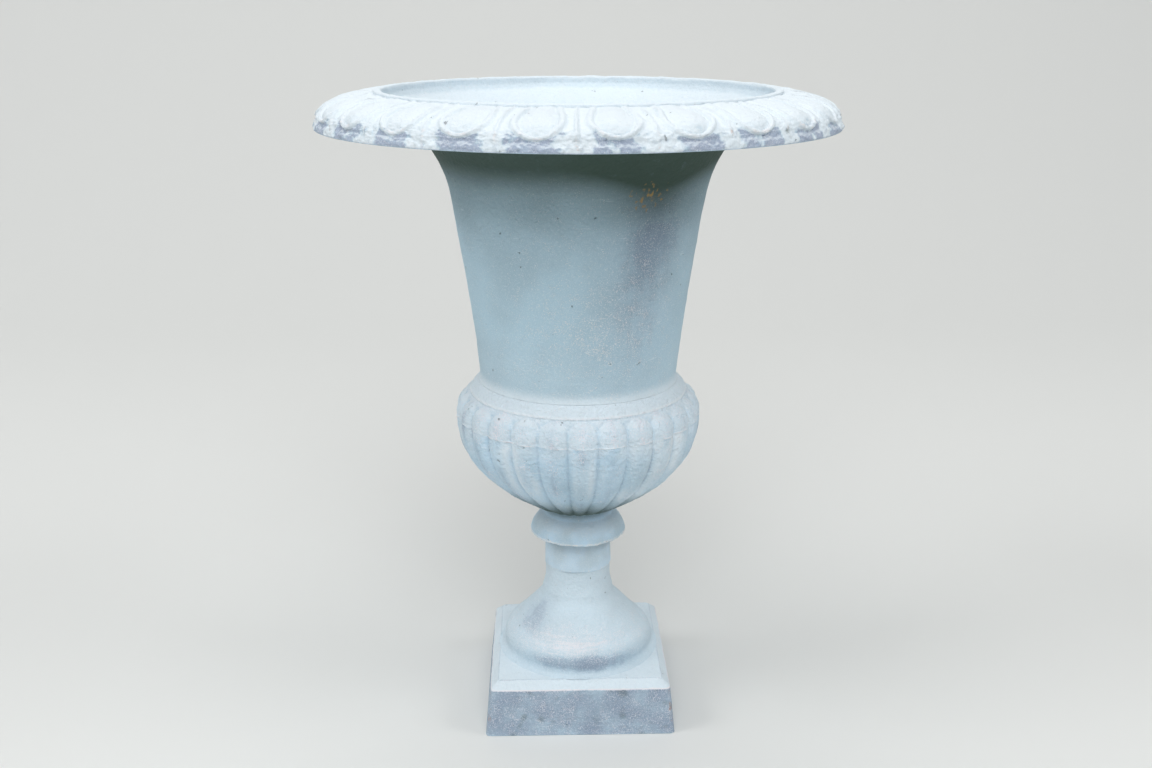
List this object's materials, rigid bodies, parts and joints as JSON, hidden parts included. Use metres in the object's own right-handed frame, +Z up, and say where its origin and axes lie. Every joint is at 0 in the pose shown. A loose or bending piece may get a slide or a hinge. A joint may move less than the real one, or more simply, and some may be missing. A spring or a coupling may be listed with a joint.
{
  "type": "garden urn",
  "caption": "Footed garden urn: square plinth, domed stem, overhanging knop, gadrooned bowl, trumpet-shaped body and wide egg-and-dart rim, open at the top for planting.",
  "frame": {"origin": "middle of the square foot's underside, on the urn's axis", "axes": "+Z up along the urn's axis, -Y towards the front as pictured, +X to its right"},
  "size_m": [0.597, 0.597, 0.77],
  "materials": {
    "painted_iron": "matt, chalky pale blue paint, worn to white on the high edges, with small rust flecks",
    "fastener_steel": "dull weathered steel"
  },
  "bodies": {
    "root": {"foot": "painted_iron", "knop_collar": "painted_iron", "gadrooned_bowl": "painted_iron", "trumpet_body": "painted_iron", "rim_ring": "painted_iron", "tie_rod": "fastener_steel", "upper_rod_washer": "fastener_steel", "lower_rod_washer": "fastener_steel", "upper_rod_nut": "fastener_steel", "lower_rod_nut": "fastener_steel", "waist_bolts": "fastener_steel", "waist_nuts": "fastener_steel", "rim_screws": "fastener_steel"}
  },
  "joints": []
}
